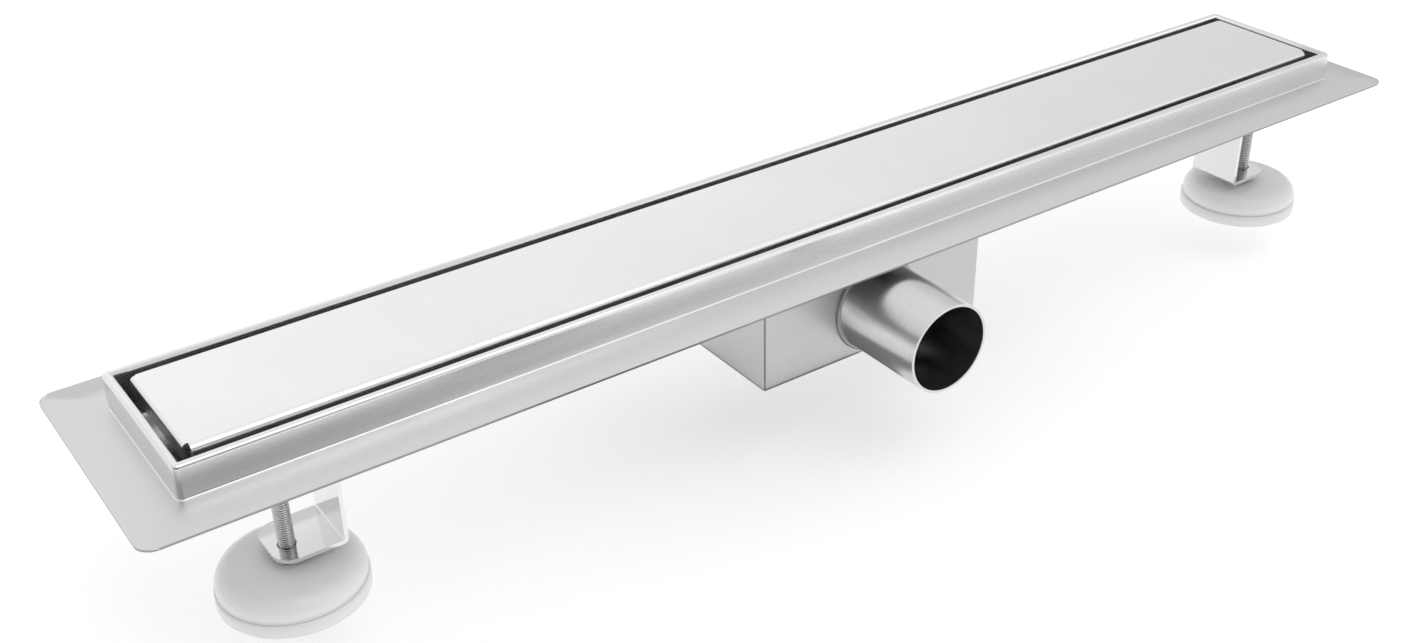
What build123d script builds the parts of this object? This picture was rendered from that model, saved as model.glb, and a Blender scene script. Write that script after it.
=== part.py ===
from build123d import *
import os

# Linear shower drain in folded stainless steel, millimetres.
# X runs along the channel, the outlet pipe points to -Y, Z is up.
# The origin is the middle of the cover's top face, at finished floor level.

os.makedirs("parts", exist_ok=True)

# Channel tray: flange, upstand rim with a hemmed top, and the trough inside it
rim_length = 750.0
rim_width = 92.0
rim_height = 17.0
rim_corner_radius = 3.0
flange_width = 25.0
flange_corner_radius = 8.0
sheet = 1.2
hem_width = 4.5
hem_flat = 0.3
flange_bend_radius = 1.0
trough_end_depth = 9.0
trough_fall = 3.0
trough_bend_radius = 2.0
drain_hole_diameter = 64.0
seat_diameter = 76.0
seat_depth = 5.0

# Cover pan and what it stands on
cover_side_slot = 5.5
cover_end_slot = 4.5
cover_sheet = 1.5
cover_proud = 0.5
cover_edge_radius = 3.5
cover_skirt = 12.0
cover_flap = 9.0
cover_flap_radius = 2.5
cover_corner_notch = 3.0
support_sheet = 1.5
support_length = 22.0
support_span = 56.0
support_bend_radius = 2.5
support_end_inset = 66.0
support_middle_reach = 110.0
shoe_wall = 2.0
shoe_height = 9.0
shoe_sole = 2.5

# Sump box and outlet pipe
sump_length = 148.0
sump_width = 100.0
sump_depth = 62.0
sump_corner_radius = 1.5
sump_bottom_radius = 3.0
pipe_diameter = 50.0
pipe_wall = 1.5
pipe_length = 58.0
pipe_drop = 33.0
weld_bead = 2.0

# Odour trap that hangs in the drain hole, and the strainer on it
seal_thickness = 1.5
trap_flange_thickness = 2.0
trap_wall = 1.8
trap_neck_diameter = 60.0
trap_neck_height = 4.0
trap_cone_height = 9.0
trap_tube_diameter = 42.0
trap_tube_drop = 36.0
trap_cup_diameter = 60.0
trap_cup_drop = 42.5
trap_cup_height = 30.0
trap_cup_chamfer = 4.0
trap_fin_thickness = 2.0
trap_fin_height = 20.0
trap_fin_count = 3
strainer_sheet = 1.0
strainer_hole_diameter = 6.0
strainer_rings = ((11.0, 6), (21.0, 12))
grip_height = 9.0
grip_width = 25.0
grip_strip = 8.0
grip_bend_radius = 2.0

# Levelling feet: bracket, nut, stud and pad
foot_inset = 47.0
foot_offset = -28.0
bracket_sheet = 2.0
bracket_width = 33.0
bracket_offset = -25.0
bracket_setback = 24.5
bracket_base_length = 33.5
bracket_tab_length = 20.0
bracket_bend_radius = 0.8
bracket_corner_radius = 10.0
bracket_drop = 55.0
stud_hole_diameter = 9.0
stud_diameter = 8.0
stud_tip_chamfer = 0.8
stud_above_plate = 38.0
stud_head_width = 13.0
stud_head_height = 5.3
nut_height = 4.5
nut_flange_diameter = 18.0
nut_flange_thickness = 1.6
nut_width = 13.0
nut_teeth = 24
nut_tooth_width = 1.0
nut_tooth_depth = 0.4
pad_diameter = 71.0
pad_ring_height = 6.8
pad_ring_chamfer = 0.6
pad_groove_width = 0.6
pad_groove_depth = 1.0
pad_body_diameter = 69.2
pad_shoulder_height = 17.6
pad_shoulder_radius = 8.0
pad_crown_diameter = 24.0
pad_height = 19.3
pad_wall = 3.0
pad_boss_diameter = 22.0
pad_rib_count = 6
pad_rib_thickness = 2.4
pad_rib_rise = 2.0
pad_head_recess = 2.0

# Clearances
weld_gap = 0.1
seat_gap = 0.2
drop_in_gap = 1.0
fin_gap = 0.1
thread_gap = 0.05
head_gap = 0.1
nut_plate_gap = 0.05
nut_pad_gap = 0.2

# Edges closer than this to a height or an outline are taken as lying on it
same_place = 0.01

# Heights and faces worked out from the sizes above
rim_top = -cover_proud
flange_top = rim_top - rim_height
flange_under = flange_top - sheet
trough_length = rim_length - 2 * hem_width
trough_width = rim_width - 2 * hem_width
seat_top = flange_top - trough_end_depth - trough_fall - seat_depth
cover_length = trough_length - 2 * cover_end_slot
cover_width = trough_width - 2 * cover_side_slot
support_end_reach = cover_length / 2 - support_end_inset
support_places = (-support_end_reach, -support_middle_reach, support_middle_reach, support_end_reach)
sump_bottom = flange_top - sump_depth
sump_face = -sump_width / 2
pipe_axis = flange_top - pipe_drop
trap_flange_under = seat_top + seal_thickness
trap_flange_top = trap_flange_under + trap_flange_thickness
trap_flange_diameter = seat_diameter - 2 * drop_in_gap
strainer_top = trap_flange_top + seat_gap + strainer_sheet
cup_bottom = trap_flange_under - trap_cup_drop
foot_reach = rim_length / 2 - foot_inset
bracket_back = foot_reach - bracket_setback
plate_top = flange_top - bracket_drop
plate_under = plate_top - bracket_sheet
nut_top = plate_under - nut_plate_gap
nut_bottom = nut_top - nut_height
pad_top = nut_bottom - nut_pad_gap
pad_bottom = pad_top - pad_height
head_bottom = pad_bottom + pad_head_recess
stud_top = plate_top + stud_above_plate


def floor_height(x):
    """Upper face of the trough floor, which falls from both ends to the middle."""
    share = 1 - min(abs(x) / (trough_length / 2), 1)
    return flange_top - trough_end_depth - trough_fall * share


def slab(length, width, radius, bottom, top):
    """Upright block with rounded corners, centred on the origin."""
    return Plane.XY.offset(bottom) * extrude(RectangleRounded(length, width, radius), top - bottom)


def disc(diameter, bottom, top):
    """Upright round plate on the origin."""
    return Plane.XY.offset(bottom) * extrude(Circle(diameter / 2), top - bottom)


def top_edges(solid):
    """Edges round the highest face of a solid."""
    return solid.faces().sort_by(Axis.Z)[-1].edges()


def edges_inside(solid, height, length, width):
    """Edges at one height, within a rectangle centred on the origin."""
    return solid.edges().filter_by(
        lambda edge: abs(edge.center().Z - height) < same_place
        and abs(edge.center().X) < length / 2 + same_place
        and abs(edge.center().Y) < width / 2 + same_place
    )


def folded_channel(length, width, depth, wall, radius):
    """Sheet folded down along both long edges, with its top face at height 0."""
    outer = Pos(0, 0, -depth / 2) * Box(length, width, depth)
    outer = fillet(top_edges(outer).filter_by(Axis.X), radius)
    inner = Pos(0, 0, -wall - depth / 2) * Box(length, width - 2 * wall, depth)
    inner = fillet(top_edges(inner).filter_by(Axis.X), radius - wall)
    return outer - inner


def trough_block(wall, radius):
    """The trough's inside for wall 0, or its outside for the sheet's thickness."""
    half = trough_length / 2 + wall
    end_floor = flange_top - trough_end_depth - wall
    side = Polyline(
        (-half, rim_top),
        (-half, end_floor),
        (0, end_floor - trough_fall),
        (half, end_floor),
        (half, rim_top),
        close=True,
    )
    block = extrude(Plane.XZ * make_face(side), trough_width / 2 + wall, both=True)
    floor_edges = block.edges().filter_by(
        lambda edge: edge.center().Z < end_floor + same_place and abs(edge.center().X) > same_place
    )
    return fillet(floor_edges, radius)


def channel_tray():
    """One folded sheet with the seat for the trap pressed into its floor."""
    hem_radius = (hem_width - hem_flat) / 2
    upstand = slab(rim_length, rim_width, rim_corner_radius, flange_under, rim_top)
    upstand = fillet(top_edges(upstand), hem_radius)
    upstand += slab(
        rim_length + 2 * flange_width,
        rim_width + 2 * flange_width,
        flange_corner_radius,
        flange_under,
        flange_top,
    )
    upstand = fillet(edges_inside(upstand, flange_top, rim_length, rim_width), flange_bend_radius)

    # The hem is hollow: the sheet goes up, turns over and comes down again
    hollow = slab(
        rim_length - 2 * sheet,
        rim_width - 2 * sheet,
        rim_corner_radius - sheet,
        flange_under,
        rim_top - sheet,
    )
    upstand -= fillet(top_edges(hollow), hem_radius - sheet)

    walls = trough_block(sheet, trough_bend_radius + sheet)
    crown = slab(rim_length, rim_width, rim_corner_radius, rim_top - sheet, rim_top)
    seat_wall = disc(
        seat_diameter + 2 * sheet, seat_top - sheet, flange_top - trough_end_depth - trough_fall
    )
    tray = upstand + (walls - crown) + seat_wall
    tray -= trough_block(0, trough_bend_radius)
    tray -= disc(seat_diameter, seat_top, flange_top)
    tray -= disc(drain_hole_diameter, seat_top - 2 * sheet, flange_top)
    return fillet(edges_inside(tray, rim_top, trough_length, trough_width), hem_radius)


def cover_plate():
    """Pan: long edges rolled down, ends folded down, corners left open."""
    pan = folded_channel(
        cover_length - 2 * cover_corner_notch,
        cover_width,
        cover_skirt,
        cover_sheet,
        cover_edge_radius,
    )
    flaps = folded_channel(
        cover_width - 2 * cover_edge_radius,
        cover_length,
        cover_flap,
        cover_sheet,
        cover_flap_radius,
    )
    return pan + Rot(0, 0, 90) * flaps


def shoe_bottom(place):
    """Sole height of a shoe: it meets the falling floor at its outer end."""
    return floor_height(abs(place) + support_length / 2) + seat_gap


def cover_support(place):
    """Cross bar welded under the cover, a strip folded into two legs."""
    depth = -cover_sheet - (shoe_bottom(place) + shoe_sole)
    bar = folded_channel(support_length, support_span, depth, support_sheet, support_bend_radius)
    return Pos(place, 0, -cover_sheet) * bar


def support_shoe(place, side):
    """Rubber channel pushed over the end of a leg."""
    width = support_sheet + 2 * shoe_wall
    shoe = Box(support_length, width, shoe_height, align=(Align.CENTER, Align.CENTER, Align.MIN))
    slot_height = shoe_height - shoe_sole
    slot = Box(support_length, support_sheet, slot_height, align=(Align.CENTER, Align.CENTER, Align.MIN))
    shoe -= Pos(0, 0, shoe_sole) * slot
    leg_middle = support_span / 2 - support_sheet / 2
    return Pos(place, side * leg_middle, shoe_bottom(place)) * shoe


def sump_box():
    """Open box welded to the underside of the flange, notched to take the trough."""
    outer = slab(sump_length, sump_width, sump_corner_radius, sump_bottom, flange_under)
    outer = fillet(outer.faces().sort_by(Axis.Z)[0].edges(), sump_bottom_radius)
    inner = slab(
        sump_length - 2 * sheet,
        sump_width - 2 * sheet,
        sump_corner_radius - sheet,
        sump_bottom + sheet,
        flange_under,
    )
    inner = fillet(inner.faces().sort_by(Axis.Z)[0].edges(), sump_bottom_radius - sheet)
    box = outer - inner - trough_block(sheet + weld_gap, trough_bend_radius + sheet)
    pipe_hole = Plane.XZ * extrude(Circle(pipe_diameter / 2 + weld_gap), sump_width)
    return box - Pos(0, 0, pipe_axis) * pipe_hole


def outlet_pipe():
    """Round tube set through the sump's wall, with a bead of weld round its root."""
    outer = pipe_diameter / 2
    mouth = sump_face - pipe_length
    wall = Polyline(
        (outer - pipe_wall, -mouth),
        (outer, -mouth),
        (outer, -sump_face - sheet),
        (outer - pipe_wall, -sump_face - sheet),
        close=True,
    )
    bead = Polyline(
        (outer, -sump_face),
        (outer + weld_bead, -sump_face),
        (outer, -sump_face + weld_bead),
        close=True,
    )
    pipe = revolve(make_face(wall) + make_face(bead), Axis.Y)
    return Pos(0, 0, pipe_axis) * Rot(180, 0, 0) * pipe


def trap_tube():
    """Flange, funnel and dip tube moulded in one, with fins that hold the cup."""
    flange_outer = trap_flange_diameter / 2
    neck = trap_neck_diameter / 2
    dip = trap_tube_diameter / 2
    cone_top = trap_flange_under - trap_neck_height
    cone_bottom = cone_top - trap_cone_height
    tube_bottom = trap_flange_under - trap_tube_drop
    section = Polyline(
        (neck - trap_wall, trap_flange_top),
        (flange_outer, trap_flange_top),
        (flange_outer, trap_flange_under),
        (neck, trap_flange_under),
        (neck, cone_top),
        (dip, cone_bottom),
        (dip, tube_bottom),
        (dip - trap_wall, tube_bottom),
        (dip - trap_wall, cone_bottom),
        (neck - trap_wall, cone_top),
        close=True,
    )
    body = revolve(Plane.XZ * make_face(section), Axis.Z)
    fin_inner = dip - trap_wall / 2
    fin_outer = trap_cup_diameter / 2 - trap_wall - fin_gap
    fin_bottom = cup_bottom + trap_wall + seat_gap
    fin = Box(
        fin_outer - fin_inner,
        trap_fin_thickness,
        trap_fin_height,
        align=(Align.MIN, Align.CENTER, Align.MIN),
    )
    fin = Pos(fin_inner, 0, fin_bottom) * chamfer(
        fin.edges().filter_by(Axis.Y).group_by(Axis.X)[-1], trap_cup_chamfer - trap_wall
    )
    for index in range(trap_fin_count):
        body += Rot(0, 0, index * 360 / trap_fin_count) * fin
    return body


def trap_cup():
    """Cup that keeps the water seal round the dip tube."""
    outer = disc(trap_cup_diameter, cup_bottom, cup_bottom + trap_cup_height)
    outer = chamfer(outer.faces().sort_by(Axis.Z)[0].edges(), trap_cup_chamfer)
    inner = disc(
        trap_cup_diameter - 2 * trap_wall,
        cup_bottom + trap_wall,
        cup_bottom + trap_cup_height,
    )
    return outer - chamfer(inner.faces().sort_by(Axis.Z)[0].edges(), trap_cup_chamfer - trap_wall)


def trap_seal():
    """Flat rubber ring between the trap's flange and its seat."""
    ring = disc(trap_flange_diameter, seat_top, trap_flange_under)
    return ring - disc(trap_neck_diameter + 2 * seat_gap, seat_top, trap_flange_under)


def hair_strainer():
    """Perforated disc that lies on the trap's flange."""
    plate = disc(trap_flange_diameter, strainer_top - strainer_sheet, strainer_top)
    hole = disc(strainer_hole_diameter, strainer_top - 2 * strainer_sheet, strainer_top + strainer_sheet)
    for radius, count in strainer_rings:
        for location in PolarLocations(radius, count):
            plate -= location * hole
    return plate


def strainer_grip():
    """Folded strip spot welded on the strainer, to lift it out by."""
    grip = folded_channel(grip_strip, grip_width, grip_height, strainer_sheet, grip_bend_radius)
    return Pos(0, 0, strainer_top + grip_height) * Rot(0, 0, 90) * grip


def right_bracket():
    """Strip folded twice: tab under the trough, back, and plate on the nut."""
    half_sheet = bracket_sheet / 2
    back = bracket_back + half_sheet
    tab_end = bracket_back - bracket_tab_length
    tab_height = floor_height(tab_end) - sheet - weld_gap - half_sheet
    plate_height = plate_top - half_sheet
    path = FilletPolyline(
        (tab_end, tab_height),
        (back, tab_height),
        (back, plate_height),
        (bracket_back + bracket_base_length, plate_height),
        radius=bracket_bend_radius + half_sheet,
    )
    section = trace(path, line_width=bracket_sheet)
    strip = extrude(Plane.XZ * section, bracket_width / 2, both=True)
    free_end = strip.edges().filter_by(Axis.Z).group_by(Axis.X)[-1]
    strip = Pos(0, bracket_offset, 0) * fillet(free_end, bracket_corner_radius)
    hole = Cylinder(stud_hole_diameter / 2, 3 * bracket_sheet)
    return strip - Pos(foot_reach, foot_offset, plate_height) * hole


def right_lock_nut():
    """Hexagon nut with a knurled flange, which lifts the bracket as it turns."""
    flat = nut_width / 2
    body = Plane.XY.offset(nut_bottom) * extrude(
        RegularPolygon(flat, 6, major_radius=False), nut_height
    )
    flange_bottom = nut_top - nut_flange_thickness
    body += disc(nut_flange_diameter, flange_bottom, nut_top)
    tooth_gap = Box(2 * nut_tooth_depth, nut_tooth_width, 4 * nut_flange_thickness)
    for location in PolarLocations(nut_flange_diameter / 2, nut_teeth):
        body -= Pos(0, 0, nut_top) * location * tooth_gap
    body -= disc(stud_diameter + 2 * thread_gap, nut_bottom - nut_height, nut_top + nut_height)
    return Pos(foot_reach, foot_offset, 0) * body


def right_foot_stud():
    """Hexagon head screw whose head sits in the pad."""
    head = Plane.XY.offset(head_bottom) * extrude(
        RegularPolygon(stud_head_width / 2, 6, major_radius=False), stud_head_height
    )
    shank = disc(stud_diameter, head_bottom, stud_top)
    shank = chamfer(shank.faces().sort_by(Axis.Z)[-1].edges(), stud_tip_chamfer)
    return Pos(foot_reach, foot_offset, 0) * (head + shank)


def pad_outline(wall):
    """Half outline of the pad's drum and shallow cone, or of the space inside its wall."""
    body_radius = pad_body_diameter / 2 - wall
    crown_radius = pad_crown_diameter / 2
    return make_face(
        Polyline(
            (0, 0),
            (body_radius, 0),
            (body_radius, pad_shoulder_height - wall),
            (crown_radius, pad_height - wall),
            (0, pad_height - wall),
            close=True,
        )
    )


def outer_shoulder(face):
    """Corner of the outline where the drum meets the cone."""
    return face.vertices().sort_by(Axis.X)[-2:].sort_by(Axis.Y)[-1]


def right_foot_pad():
    """Moulded plastic pad: round shouldered drum, base ring, ribs and a boss for the head."""
    drum = pad_outline(0)
    drum = fillet(outer_shoulder(drum), pad_shoulder_radius)
    ring = Rectangle(pad_diameter / 2, pad_ring_height, align=(Align.MIN, Align.MIN))
    ring = chamfer(ring.vertices().group_by(Axis.X)[-1], pad_ring_chamfer)
    groove = Rectangle(pad_groove_depth, pad_groove_width, align=(Align.MAX, Align.MIN))
    groove = Pos(pad_body_diameter / 2, pad_ring_height) * groove
    pad = revolve(Plane.XZ * (drum + ring - groove), Axis.Z)

    hollow = pad_outline(pad_wall)
    hollow = chamfer(outer_shoulder(hollow), pad_shoulder_radius - pad_wall)
    boss = Rectangle(pad_boss_diameter / 2, pad_height, align=(Align.MIN, Align.MIN))
    hollow = revolve(Plane.XZ * (hollow - boss), Axis.Z)
    rib = Box(
        pad_diameter,
        pad_rib_thickness,
        pad_height,
        align=(Align.CENTER, Align.CENTER, Align.MIN),
    )
    for index in range(pad_rib_count // 2):
        hollow -= Pos(0, 0, pad_rib_rise) * Rot(0, 0, index * 360 / pad_rib_count) * rib
    pad -= hollow

    pocket_height = pad_head_recess + stud_head_height + head_gap
    pocket = extrude(
        RegularPolygon(stud_head_width / 2 + head_gap, 6, major_radius=False), pocket_height
    )
    pad -= pocket + disc(stud_diameter + 2 * head_gap, 0, pad_height)
    return Pos(foot_reach, foot_offset, pad_bottom) * pad


def group(solids):
    """Like solids of one node, each kept as a separate solid."""
    return Compound(children=list(solids))


nodes = {
    "channel_tray": channel_tray(),
    "cover_plate": cover_plate(),
    "cover_supports": group(cover_support(place) for place in support_places),
    "support_shoes": group(
        support_shoe(place, side) for place in support_places for side in (-1, 1)
    ),
    "sump_box": sump_box(),
    "outlet_pipe": outlet_pipe(),
    "trap_tube": trap_tube(),
    "trap_cup": trap_cup(),
    "trap_seal": trap_seal(),
    "hair_strainer": hair_strainer(),
    "strainer_grip": strainer_grip(),
}
foot_pieces = {
    "bracket": right_bracket(),
    "lock_nut": right_lock_nut(),
    "foot_stud": right_foot_stud(),
    "foot_pad": right_foot_pad(),
}
for name, piece in foot_pieces.items():
    nodes["right_" + name] = piece
    nodes["left_" + name] = mirror(piece, Plane.YZ)

for name, piece in nodes.items():
    export_step(piece, "parts/" + name + ".step")
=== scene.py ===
import math

import bmesh
import bpy
from mathutils import Matrix, Vector


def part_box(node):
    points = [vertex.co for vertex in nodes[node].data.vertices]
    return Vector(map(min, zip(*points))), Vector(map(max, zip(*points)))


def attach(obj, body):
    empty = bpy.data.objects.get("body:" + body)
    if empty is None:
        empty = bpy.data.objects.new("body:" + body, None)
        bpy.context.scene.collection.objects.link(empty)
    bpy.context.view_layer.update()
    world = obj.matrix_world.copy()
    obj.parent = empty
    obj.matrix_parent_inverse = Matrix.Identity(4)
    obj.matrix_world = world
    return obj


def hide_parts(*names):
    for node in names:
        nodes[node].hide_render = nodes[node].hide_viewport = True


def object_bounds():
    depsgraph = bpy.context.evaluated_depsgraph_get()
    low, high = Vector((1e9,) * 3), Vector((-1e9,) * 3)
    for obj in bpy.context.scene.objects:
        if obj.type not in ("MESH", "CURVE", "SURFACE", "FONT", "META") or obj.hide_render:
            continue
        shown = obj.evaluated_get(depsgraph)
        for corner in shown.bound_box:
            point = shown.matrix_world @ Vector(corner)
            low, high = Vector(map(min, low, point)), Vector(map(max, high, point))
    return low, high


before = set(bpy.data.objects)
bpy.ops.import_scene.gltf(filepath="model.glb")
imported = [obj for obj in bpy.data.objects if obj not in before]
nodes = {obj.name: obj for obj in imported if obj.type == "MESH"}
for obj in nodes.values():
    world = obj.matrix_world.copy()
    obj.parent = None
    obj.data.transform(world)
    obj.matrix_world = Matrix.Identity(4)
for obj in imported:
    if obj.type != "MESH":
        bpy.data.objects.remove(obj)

cad_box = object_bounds()
scene = bpy.context.scene


# Channel tray: one sheet of 1.2 mm stainless, folded up into the rim, over the hem and
# down into the trough. The rim and the trough keep their brushed finish, and the flange
# is left matt all round, for the sealing membrane to grip.
def build_sheet_grain():
    """Rolled and brushed lines with faint clouds from handling, for every steel piece."""
    tree = bpy.data.node_groups.new("sheet_grain", "ShaderNodeTree")
    sockets = (
        ("Place", "INPUT", "NodeSocketVector"),
        ("Light steel", "INPUT", "NodeSocketColor"),
        ("Dark steel", "INPUT", "NodeSocketColor"),
        ("Low roughness", "INPUT", "NodeSocketFloat"),
        ("High roughness", "INPUT", "NodeSocketFloat"),
        ("Colour", "OUTPUT", "NodeSocketColor"),
        ("Roughness", "OUTPUT", "NodeSocketFloat"),
        ("Height", "OUTPUT", "NodeSocketFloat"),
    )
    for name, direction, kind in sockets:
        tree.interface.new_socket(name=name, in_out=direction, socket_type=kind)
    build = tree.nodes.new
    join = tree.links.new
    entry = build("NodeGroupInput")
    leave = build("NodeGroupOutput")

    # The place arrives stretched along the grain, so plain noise turns into lines
    lines = build("ShaderNodeTexNoise")
    lines.inputs["Scale"].default_value = 1.0
    lines.inputs["Detail"].default_value = 4.0
    lines.inputs["Roughness"].default_value = 0.65
    join(entry.outputs["Place"], lines.inputs["Vector"])

    where = build("ShaderNodeTexCoord")
    clouds = build("ShaderNodeTexNoise")
    clouds.inputs["Scale"].default_value = 14.0
    clouds.inputs["Detail"].default_value = 3.0
    join(where.outputs["Object"], clouds.inputs["Vector"])

    blend = build("ShaderNodeMix")
    blend.data_type = "FLOAT"
    blend.inputs["Factor"].default_value = 0.55
    join(lines.outputs["Fac"], blend.inputs["A"])
    join(clouds.outputs["Fac"], blend.inputs["B"])

    spread = build("ShaderNodeMapRange")
    spread.interpolation_type = "SMOOTHSTEP"
    spread.inputs["From Min"].default_value = 0.35
    spread.inputs["From Max"].default_value = 0.65
    join(blend.outputs["Result"], spread.inputs["Value"])

    tint = build("ShaderNodeMix")
    tint.data_type = "RGBA"
    join(spread.outputs["Result"], tint.inputs["Factor"])
    join(entry.outputs["Dark steel"], tint.inputs["A"])
    join(entry.outputs["Light steel"], tint.inputs["B"])
    join(tint.outputs["Result"], leave.inputs["Colour"])

    rough = build("ShaderNodeMix")
    rough.data_type = "FLOAT"
    join(spread.outputs["Result"], rough.inputs["Factor"])
    join(entry.outputs["High roughness"], rough.inputs["A"])
    join(entry.outputs["Low roughness"], rough.inputs["B"])
    join(rough.outputs["Result"], leave.inputs["Roughness"])
    join(lines.outputs["Fac"], leave.inputs["Height"])
    return tree


sheet_grain = build_sheet_grain()


def steel(name, light, dark, low_rough, high_rough, grain, depth):
    """Stainless steel whose grain runs along the axis with the small scale in grain."""
    made = bpy.data.materials.new(name)
    made.use_nodes = True
    build = made.node_tree.nodes.new
    join = made.node_tree.links.new
    shader = made.node_tree.nodes["Principled BSDF"]
    shader.inputs["Metallic"].default_value = 1.0
    where = build("ShaderNodeTexCoord")
    stretch = build("ShaderNodeMapping")
    stretch.inputs["Scale"].default_value = grain
    effect = build("ShaderNodeGroup")
    effect.node_tree = sheet_grain
    effect.inputs["Light steel"].default_value = (light, light, light * 1.005, 1)
    effect.inputs["Dark steel"].default_value = (dark, dark, dark * 1.005, 1)
    effect.inputs["Low roughness"].default_value = low_rough
    effect.inputs["High roughness"].default_value = high_rough
    bump = build("ShaderNodeBump")
    bump.inputs["Strength"].default_value = depth
    bump.inputs["Distance"].default_value = 0.0001
    join(where.outputs["Object"], stretch.inputs["Vector"])
    join(stretch.outputs["Vector"], effect.inputs["Place"])
    join(effect.outputs["Colour"], shader.inputs["Base Color"])
    join(effect.outputs["Roughness"], shader.inputs["Roughness"])
    join(effect.outputs["Height"], bump.inputs["Height"])
    join(bump.outputs["Normal"], shader.inputs["Normal"])
    return made


def reading(tree, kind, axis):
    """One number of the place, as Object, or of the direction a face looks in, as Normal."""
    where = tree.nodes.new("ShaderNodeTexCoord")
    parts = tree.nodes.new("ShaderNodeSeparateXYZ")
    tree.links.new(where.outputs[kind], parts.inputs["Vector"])
    return parts.outputs[axis]


def worked_out(tree, operation, *terms):
    """One step of arithmetic on readings, masks or plain numbers."""
    step = tree.nodes.new("ShaderNodeMath")
    step.operation = operation
    for socket, term in zip(step.inputs, terms):
        if isinstance(term, bpy.types.NodeSocket):
            tree.links.new(term, socket)
        else:
            socket.default_value = term
    return step.outputs["Value"]


def between(tree, value, low, high):
    """Mask of 1 where a reading lies between two numbers."""
    return worked_out(tree, "COMPARE", value, (low + high) / 2, (high - low) / 2)


def lay_over(tree, mask, colour, roughness):
    """Puts another grey and roughness over a steel wherever a mask is 1."""
    shader = tree.nodes["Principled BSDF"]
    changes = (
        ("Base Color", "RGBA", (colour, colour, colour, 1)),
        ("Roughness", "FLOAT", roughness),
    )
    for label, kind, value in changes:
        under = shader.inputs[label].links[0].from_socket
        over = tree.nodes.new("ShaderNodeMix")
        over.data_type = kind
        over.inputs["B"].default_value = value
        tree.links.new(mask, over.inputs["Factor"])
        tree.links.new(under, over.inputs["A"])
        tree.links.new(over.outputs["Result"], shader.inputs[label])


def dress(node, material, body="channel"):
    """Shows a CAD node with its bends shaded round, in its finish, on its body."""
    mesh = nodes[node].data.copy()
    mesh.name = node + "_finish"
    solid = bmesh.new()
    solid.from_mesh(mesh)
    bmesh.ops.remove_doubles(solid, verts=solid.verts, dist=0.000001)
    solid.to_mesh(mesh)
    solid.free()
    mesh.shade_smooth()
    mesh.set_sharp_from_angle(angle=math.radians(32.0))
    mesh.materials.clear()
    mesh.materials.append(material)
    piece = bpy.data.objects.new(node + "_finish", mesh)
    scene.collection.objects.link(piece)
    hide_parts(node)
    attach(piece, body)


tray_steel = steel(
    "brushed_tray_steel", light=0.84, dark=0.78, low_rough=0.24, high_rough=0.32,
    grain=(12.0, 2600.0, 2600.0), depth=0.10,
)
tray_tree = tray_steel.node_tree
tray_x = reading(tray_tree, "Object", "X")
tray_y = reading(tray_tree, "Object", "Y")
tray_height = reading(tray_tree, "Object", "Z")
tray_facing = reading(tray_tree, "Normal", "Z")

flange_top = -0.0175
flange_under = -0.0187
skin = 0.0001
flange_band = between(tray_tree, tray_height, flange_under - skin, flange_top + skin)
lay_over(tray_tree, flange_band, colour=0.68, roughness=0.42)

# The sheet's cut edge is duller. A face looks sideways if its normal rises or falls less
# than this
level_limit = 0.5
sideways = between(tray_tree, tray_facing, -level_limit, level_limit)
cut_edge = worked_out(tray_tree, "MULTIPLY", flange_band, sideways)
lay_over(tray_tree, cut_edge, colour=0.36, roughness=0.45)

# Painted shade: the underside is darkened near the sump, less and less outwards
shade_full = 0.085
shade_end = 0.16
shade_falloff = tray_tree.nodes.new("ShaderNodeMapRange")
shade_falloff.interpolation_type = "SMOOTHSTEP"
shade_falloff.inputs["From Min"].default_value = shade_full
shade_falloff.inputs["From Max"].default_value = shade_end
shade_falloff.inputs["To Min"].default_value = 1.0
shade_falloff.inputs["To Max"].default_value = 0.0
tray_tree.links.new(worked_out(tray_tree, "ABSOLUTE", tray_x), shade_falloff.inputs["Value"])
underside = between(tray_tree, tray_facing, -1.0 - level_limit, -level_limit)
painted_underside_shade = worked_out(tray_tree, "MULTIPLY", underside, shade_falloff.outputs["Result"])
# The painted shade stands in for the shade under the flange
lay_over(tray_tree, painted_underside_shade, colour=0.20, roughness=0.45)

# The welds up the rim's four corners were ground down
corner_reach_x = 0.3738
corner_reach_y = 0.0448
corner_start = -0.0168
corner_end = 0.001
off_ends = between(tray_tree, tray_x, -corner_reach_x, corner_reach_x)
off_sides = between(tray_tree, tray_y, -corner_reach_y, corner_reach_y)
off_corners = worked_out(tray_tree, "MAXIMUM", off_ends, off_sides)
corners = worked_out(tray_tree, "SUBTRACT", 1.0, off_corners)
upstand = between(tray_tree, tray_height, corner_start, corner_end)
ground = worked_out(tray_tree, "MULTIPLY", corners, upstand)
lay_over(tray_tree, ground, colour=0.58, roughness=0.36)
dress("channel_tray", tray_steel)


# Sump: an open box folded from the same sheet, welded at its corners and to the
# underside of the flange.
sump_steel = steel(
    "satin_sump_steel", light=0.60, dark=0.55, low_rough=0.30, high_rough=0.38,
    grain=(12.0, 2400.0, 2400.0), depth=0.10,
)
dress("sump_box", sump_steel)


# Outlet: a short welded tube of 50 mm, set through the sump's near wall. A round of
# small overlapping ripples shows where the welding torch went round its root.
pipe_axis_height = -0.0505
pipe_radius = 0.025
sump_face = -0.050
bead_radius = 0.00124
bead_offset = 0.0007
bead_count = 110
pipe_steel = steel(
    "satin_pipe_steel", light=0.72, dark=0.66, low_rough=0.20, high_rough=0.27,
    grain=(25.0, 2600.0, 25.0), depth=0.05,
)
dress("outlet_pipe", pipe_steel)


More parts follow.
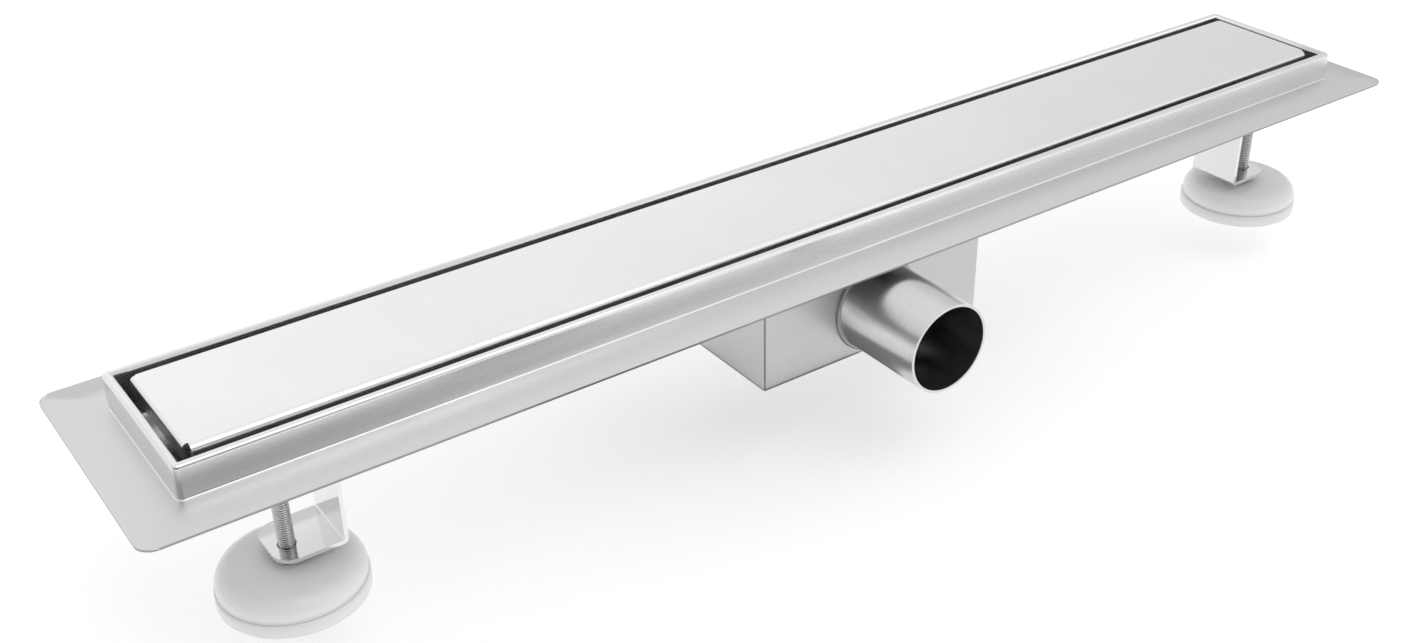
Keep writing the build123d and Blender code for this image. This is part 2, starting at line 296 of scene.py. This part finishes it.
def tree_with(name, sizes):
    """Geometry node tree with named size inputs, a material input and one output."""
    tree = bpy.data.node_groups.new(name, "GeometryNodeTree")
    tree.is_modifier = True
    for label in sizes:
        tree.interface.new_socket(name=label, in_out="INPUT", socket_type="NodeSocketFloat")
    tree.interface.new_socket(name="Material", in_out="INPUT", socket_type="NodeSocketMaterial")
    tree.interface.new_socket(name="Geometry", in_out="OUTPUT", socket_type="NodeSocketGeometry")
    return tree


def weld_ripple_tree():
    """Small round beads set close together on a circle."""
    tree = tree_with("weld_ripples", ("Radius", "Bead radius", "Bead count"))
    build = tree.nodes.new
    join = tree.links.new
    entry = build("NodeGroupInput")
    leave = build("NodeGroupOutput")
    ring = build("GeometryNodeCurvePrimitiveCircle")
    ring.inputs["Resolution"].default_value = 64
    join(entry.outputs["Radius"], ring.inputs["Radius"])
    steps = build("GeometryNodeCurveToPoints")
    join(ring.outputs["Curve"], steps.inputs["Curve"])
    join(entry.outputs["Bead count"], steps.inputs["Count"])
    bead = build("GeometryNodeMeshUVSphere")
    bead.inputs["Segments"].default_value = 12
    bead.inputs["Rings"].default_value = 6
    join(entry.outputs["Bead radius"], bead.inputs["Radius"])
    place = build("GeometryNodeInstanceOnPoints")
    join(steps.outputs["Points"], place.inputs["Points"])
    join(bead.outputs["Mesh"], place.inputs["Instance"])
    whole = build("GeometryNodeRealizeInstances")
    join(place.outputs["Instances"], whole.inputs["Geometry"])
    smooth = build("GeometryNodeSetShadeSmooth")
    join(whole.outputs["Geometry"], smooth.inputs["Geometry"])
    coat = build("GeometryNodeSetMaterial")
    join(smooth.outputs["Geometry"], coat.inputs["Geometry"])
    join(entry.outputs["Material"], coat.inputs["Material"])
    join(coat.outputs["Geometry"], leave.inputs["Geometry"])
    return tree


def grown(name, tree, sizes, material, place):
    """Plain mesh that a tree makes from its sizes, moved to its place by a matrix."""
    seed = bpy.data.objects.new(name + "_seed", bpy.data.meshes.new(name + "_seed"))
    scene.collection.objects.link(seed)
    step = seed.modifiers.new("grow", "NODES")
    step.node_group = tree
    for item in tree.interface.items_tree:
        if item.in_out == "INPUT":
            step[item.identifier] = material if item.name == "Material" else sizes[item.name]
    ready = seed.evaluated_get(bpy.context.evaluated_depsgraph_get())
    mesh = bpy.data.meshes.new_from_object(ready)
    mesh.transform(place)
    mesh.name = name
    seed.modifiers.remove(step)
    bpy.data.objects.remove(seed)
    piece = bpy.data.objects.new(name, mesh)
    scene.collection.objects.link(piece)
    return piece


weld_steel = steel(
    "ground_weld_steel", light=0.60, dark=0.50, low_rough=0.22, high_rough=0.34,
    grain=(900.0, 900.0, 900.0), depth=0.05,
)
weld_bead = grown(
    "outlet_weld",
    weld_ripple_tree(),
    {"Radius": pipe_radius + bead_offset, "Bead radius": bead_radius, "Bead count": bead_count},
    weld_steel,
    Matrix.Translation((0, sump_face - bead_offset, pipe_axis_height))
    @ Matrix.Rotation(math.radians(90.0), 4, "X"),
)
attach(weld_bead, "channel")


# Brackets: polished strips folded into a Z, spot welded under the trough, which stand
# on the nuts of the feet.
bracket_steel = steel(
    "polished_bracket_steel", light=0.84, dark=0.80, low_rough=0.06, high_rough=0.10,
    grain=(40.0, 900.0, 40.0), depth=0.03,
)
for side in ("left", "right"):
    dress(side + "_bracket", bracket_steel)


# Feet: an M8 screw with a rolled thread, held by its head in a round pad of pale
# moulded plastic, and the flanged nut that sets the height of the channel.
thread_pitch = 0.00125
thread_radius = 0.004
thread_depth = 0.0006
stud_head_width = 0.013
stud_head_height = 0.0053
fastener_steel = steel(
    "rolled_thread_steel", light=0.62, dark=0.52, low_rough=0.22, high_rough=0.34,
    grain=(400.0, 400.0, 400.0), depth=0.05,
)


def threaded_stud_tree():
    """Hexagon head, core and a V-shaped ridge wound round the core as a helix."""
    tree = tree_with(
        "threaded_stud",
        ("Core radius", "Ridge radius", "Turns", "Length", "Head radius", "Head height"),
    )
    build = tree.nodes.new
    join = tree.links.new
    entry = build("NodeGroupInput")
    leave = build("NodeGroupOutput")
    helix = build("GeometryNodeCurveSpiral")
    helix.inputs["Resolution"].default_value = 24
    join(entry.outputs["Turns"], helix.inputs["Rotations"])
    join(entry.outputs["Core radius"], helix.inputs["Start Radius"])
    join(entry.outputs["Core radius"], helix.inputs["End Radius"])
    join(entry.outputs["Length"], helix.inputs["Height"])
    upright = build("GeometryNodeSetCurveNormal")
    upright.mode = "Z_UP"
    join(helix.outputs["Curve"], upright.inputs["Curve"])
    ridge = build("GeometryNodeCurvePrimitiveCircle")
    ridge.inputs["Resolution"].default_value = 4
    join(entry.outputs["Ridge radius"], ridge.inputs["Radius"])
    thread = build("GeometryNodeCurveToMesh")
    thread.inputs["Fill Caps"].default_value = True
    join(upright.outputs["Curve"], thread.inputs["Curve"])
    join(ridge.outputs["Curve"], thread.inputs["Profile Curve"])
    together = build("GeometryNodeJoinGeometry")

    # The cylinders are made round their middles, so each is raised by half its height
    cylinders = (("Head radius", "Head height", 6), ("Core radius", "Length", 32))
    for radius, height, sides in cylinders:
        cylinder = build("GeometryNodeMeshCylinder")
        cylinder.inputs["Vertices"].default_value = sides
        join(entry.outputs[radius], cylinder.inputs["Radius"])
        join(entry.outputs[height], cylinder.inputs["Depth"])
        half = build("ShaderNodeMath")
        half.operation = "MULTIPLY"
        half.inputs[1].default_value = 0.5
        join(entry.outputs[height], half.inputs[0])
        up = build("ShaderNodeCombineXYZ")
        join(half.outputs["Value"], up.inputs["Z"])
        raised = build("GeometryNodeTransform")
        join(cylinder.outputs["Mesh"], raised.inputs["Geometry"])
        join(up.outputs["Vector"], raised.inputs["Translation"])
        join(raised.outputs["Geometry"], together.inputs["Geometry"])
    join(thread.outputs["Mesh"], together.inputs["Geometry"])

    whole = build("GeometryNodeRealizeInstances")
    join(together.outputs["Geometry"], whole.inputs["Geometry"])
    coat = build("GeometryNodeSetMaterial")
    join(whole.outputs["Geometry"], coat.inputs["Geometry"])
    join(entry.outputs["Material"], coat.inputs["Material"])
    join(coat.outputs["Geometry"], leave.inputs["Geometry"])
    return tree


def moulded_plastic(name, light, dark, roughness):
    """Plastic or rubber with faint clouds and the fine grain of its mould."""
    made = bpy.data.materials.new(name)
    made.use_nodes = True
    build = made.node_tree.nodes.new
    join = made.node_tree.links.new
    shader = made.node_tree.nodes["Principled BSDF"]
    where = build("ShaderNodeTexCoord")
    clouds = build("ShaderNodeTexNoise")
    clouds.inputs["Scale"].default_value = 35.0
    clouds.inputs["Detail"].default_value = 3.0
    grain = build("ShaderNodeTexNoise")
    grain.inputs["Scale"].default_value = 1500.0
    tint = build("ShaderNodeMix")
    tint.data_type = "RGBA"
    tint.inputs["A"].default_value = dark
    tint.inputs["B"].default_value = light
    bump = build("ShaderNodeBump")
    bump.inputs["Strength"].default_value = 0.12
    bump.inputs["Distance"].default_value = 0.0001
    join(where.outputs["Object"], clouds.inputs["Vector"])
    join(where.outputs["Object"], grain.inputs["Vector"])
    join(clouds.outputs["Fac"], tint.inputs["Factor"])
    join(tint.outputs["Result"], shader.inputs["Base Color"])
    join(grain.outputs["Fac"], bump.inputs["Height"])
    join(bump.outputs["Normal"], shader.inputs["Normal"])
    shader.inputs["Roughness"].default_value = roughness
    return made


pad_plastic = moulded_plastic(
    "pale_pad_plastic", light=(0.87, 0.87, 0.865, 1), dark=(0.83, 0.83, 0.825, 1), roughness=0.34
)
stud_tree = threaded_stud_tree()
for side in ("left", "right"):
    dress(side + "_lock_nut", fastener_steel, side + "_nut")
    dress(side + "_foot_pad", pad_plastic, side + "_foot")
    low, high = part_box(side + "_foot_stud")
    middle = (low + high) / 2
    stud_length = high.z - low.z
    stud = grown(
        side + "_threaded_stud",
        stud_tree,
        {
            "Core radius": thread_radius - thread_depth,
            "Ridge radius": thread_depth,
            "Turns": stud_length / thread_pitch,
            "Length": stud_length,
            "Head radius": stud_head_width / math.sqrt(3.0),
            "Head height": stud_head_height,
        },
        fastener_steel,
        Matrix.Translation((middle.x, middle.y, low.z)),
    )
    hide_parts(side + "_foot_stud")
    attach(stud, side + "_foot")


# Trap and strainer: a grey moulded tube and cup hang on a rubber ring in the drain
# hole, under a punched stainless disc that lifts out by its folded grip.
trap_plastic = moulded_plastic(
    "grey_trap_plastic", light=(0.10, 0.105, 0.11, 1), dark=(0.08, 0.084, 0.09, 1), roughness=0.45
)
trap_rubber = moulded_plastic(
    "black_rubber", light=(0.020, 0.020, 0.020, 1), dark=(0.014, 0.014, 0.014, 1), roughness=0.65
)
strainer_steel = steel(
    "punched_strainer_steel", light=0.66, dark=0.60, low_rough=0.22, high_rough=0.30,
    grain=(60.0, 2200.0, 2200.0), depth=0.06,
)
for node in ("trap_tube", "trap_cup"):
    dress(node, trap_plastic)
dress("trap_seal", trap_rubber)
for node in ("hair_strainer", "strainer_grip"):
    dress(node, strainer_steel)


# Cover: a plain pan of 1.5 mm stainless that lies loose in the channel. Its long edges
# are rolled over and its ends folded down. Welded cross bars in rubber shoes carry it.
cover_steel = steel(
    "bright_cover_steel", light=0.86, dark=0.83, low_rough=0.20, high_rough=0.27,
    grain=(9.0, 2200.0, 2200.0), depth=0.05,
)
dress("cover_plate", cover_steel)
dress("cover_supports", cover_steel)
dress("support_shoes", trap_rubber)


# Floor: a wide white acrylic table, lit a little from below as for catalogue pictures,
# so the shadows under the drain stay faint. It lies as low as the feet reach when they
# are screwed right out, so that it hides them at no pose.
def glowing_matt(name, grey, glow):
    """Matt sheet of one grey that also gives off some white light."""
    made = bpy.data.materials.new(name)
    made.use_nodes = True
    shader = made.node_tree.nodes["Principled BSDF"]
    shader.inputs["Base Color"].default_value = (grey, grey, grey, 1)
    shader.inputs["Roughness"].default_value = 1.0
    shader.inputs["Specular IOR Level"].default_value = 0.0
    shader.inputs["Emission Color"].default_value = (1, 1, 1, 1)
    shader.inputs["Emission Strength"].default_value = glow
    return made


def flat_sheet(name, outline, height, material):
    """One level face of the scene's own, inside an outline seen from above."""
    mesh = bpy.data.meshes.new(name)
    points = [(x, y, height) for x, y in outline]
    mesh.from_pydata(points, [], [tuple(range(len(points)))])
    mesh.materials.append(material)
    sheet = bpy.data.objects.new(name, mesh)
    scene.collection.objects.link(sheet)
    return sheet


foot_travel = 0.030
reach = 6.0
table_outline = ((-reach, -reach), (reach, -reach), (reach, reach), (-reach, reach))
white_acrylic = glowing_matt("white_acrylic", grey=0.68, glow=0.48)
flat_sheet("light_table", table_outline, cad_box[0].z - foot_travel, white_acrylic)

# The table's back lets the camera through, so that the drain also shows from below
acrylic_tree = white_acrylic.node_tree
sides = acrylic_tree.nodes.new("ShaderNodeNewGeometry")
see_through = acrylic_tree.nodes.new("ShaderNodeBsdfTransparent")
choice = acrylic_tree.nodes.new("ShaderNodeMixShader")
surface = acrylic_tree.nodes["Material Output"].inputs["Surface"]
acrylic_tree.links.new(sides.outputs["Backfacing"], choice.inputs["Fac"])
acrylic_tree.links.new(acrylic_tree.nodes["Principled BSDF"].outputs["BSDF"], choice.inputs[1])
acrylic_tree.links.new(see_through.outputs["BSDF"], choice.inputs[2])
acrylic_tree.links.new(choice.outputs["Shader"], surface)

# A grey sheet lies just over the table, left of the outlet and under the sump's corner,
# where only reflections show it. It paints shade into the reflections: the tube's dark side.
film_left = -0.19
film_right = 0.005
film_near = -0.30
film_far = 0.030
notch_left = -0.088
notch_right = -0.072
notch_near = -0.071
notch_far = -0.060
film_clearance = 0.001
shade_sheet_outline = (
    (film_left, film_near),
    (notch_right, film_near),
    (notch_right, notch_near),
    (film_right, notch_near),
    (film_right, film_far),
    (notch_left, film_far),
    (notch_left, notch_far),
    (film_left, notch_far),
)
# Painted shade: a dark, faintly glowing sheet that only reflections show
reflection_shade_sheet = glowing_matt("reflection_shade_sheet", grey=0.22, glow=0.10)
shade_sheet = flat_sheet("reflection_shade_sheet", shade_sheet_outline, cad_box[0].z + film_clearance, reflection_shade_sheet)
shade_sheet.visible_camera = False
shade_sheet.visible_diffuse = False
shade_sheet.visible_shadow = False


# Light: a ring of tall pale panels stands round the table, brighter behind the drain
# than in front of its left end, and a large soft box hangs above its near side.
def panel_ring(stops, overhead, low_edge, high_edge):
    """World whose brightness depends on the heading, with an even top above the panels."""
    world = bpy.data.worlds.new("studio")
    world.use_nodes = True
    tree = world.node_tree
    build = tree.nodes.new
    join = tree.links.new
    where = build("ShaderNodeTexCoord")
    parts = build("ShaderNodeSeparateXYZ")
    join(where.outputs["Generated"], parts.inputs["Vector"])
    heading = build("ShaderNodeMath")
    heading.operation = "ARCTAN2"
    join(parts.outputs["Y"], heading.inputs[0])
    join(parts.outputs["X"], heading.inputs[1])
    share = build("ShaderNodeMapRange")
    share.inputs["From Min"].default_value = -math.pi
    share.inputs["From Max"].default_value = math.pi
    join(heading.outputs["Value"], share.inputs["Value"])
    panels = build("ShaderNodeValToRGB")
    panels.color_ramp.interpolation = "EASE"
    marks = panels.color_ramp.elements
    while len(marks) < len(stops):
        marks.new(0.5)
    for mark, (degrees, level) in zip(marks, stops):
        mark.position = (degrees + 180.0) / 360.0
        mark.color = (level, level, level, 1)
    join(share.outputs["Result"], panels.inputs["Fac"])
    height = build("ShaderNodeMapRange")
    height.interpolation_type = "SMOOTHSTEP"
    height.inputs["From Min"].default_value = math.sin(math.radians(low_edge))
    height.inputs["From Max"].default_value = math.sin(math.radians(high_edge))
    join(parts.outputs["Z"], height.inputs["Value"])
    mix = build("ShaderNodeMix")
    mix.data_type = "RGBA"
    mix.inputs["B"].default_value = (overhead, overhead, overhead, 1)
    join(height.outputs["Result"], mix.inputs["Factor"])
    join(panels.outputs["Color"], mix.inputs["A"])
    join(mix.outputs["Result"], tree.nodes["Background"].inputs["Color"])
    tree.nodes["Background"].inputs["Strength"].default_value = 1.0
    return world


# Heading in degrees from +X towards +Y, and the brightness there
panel_stops = (
    (-180.0, 0.66),
    (-120.0, 0.18),
    (-80.0, 0.14),
    (-65.0, 1.02),
    (-50.0, 1.16),
    (-28.0, 0.80),
    (33.0, 0.78),
    (60.0, 0.98),
    (85.0, 1.08),
    (120.0, 0.95),
    (180.0, 0.66),
)
scene.world = panel_ring(panel_stops, overhead=0.95, low_edge=42.0, high_edge=60.0)

box_place = Vector((0.0, -1.3, 2.0))
box_width = 1.8
box_depth = 1.5
box_radiance = 1.1
box_light = bpy.data.lights.new("soft_box", "AREA")
box_light.shape = "RECTANGLE"
box_light.size = box_width
box_light.size_y = box_depth
box_light.energy = box_radiance * math.pi * box_width * box_depth
soft_box = bpy.data.objects.new("soft_box", box_light)
soft_box.location = box_place
soft_box.rotation_euler = (-box_place).to_track_quat("-Z", "Y").to_euler()
scene.collection.objects.link(soft_box)


# Camera: the photograph looks along the drain from its left front, with a short
# telephoto view. Heading is counted from +X towards +Y, and the tilt is downwards.
camera_place = (-0.5133, -0.6318, 0.3983)
camera_heading = 55.21
camera_tilt = 30.74
camera_roll = -1.0
camera = bpy.data.cameras.new("camera")
camera.sensor_width = 36.0
camera.lens = 42.55
camera.clip_start = 0.01
camera.clip_end = 50.0
viewer = bpy.data.objects.new("camera", camera)
viewer.matrix_world = (
    Matrix.Translation(camera_place)
    @ Matrix.Rotation(math.radians(camera_heading - 90.0), 4, "Z")
    @ Matrix.Rotation(math.radians(90.0 - camera_tilt), 4, "X")
    @ Matrix.Rotation(math.radians(camera_roll), 4, "Z")
)
scene.collection.objects.link(viewer)
scene.camera = viewer
scene.view_settings.view_transform = "Standard"
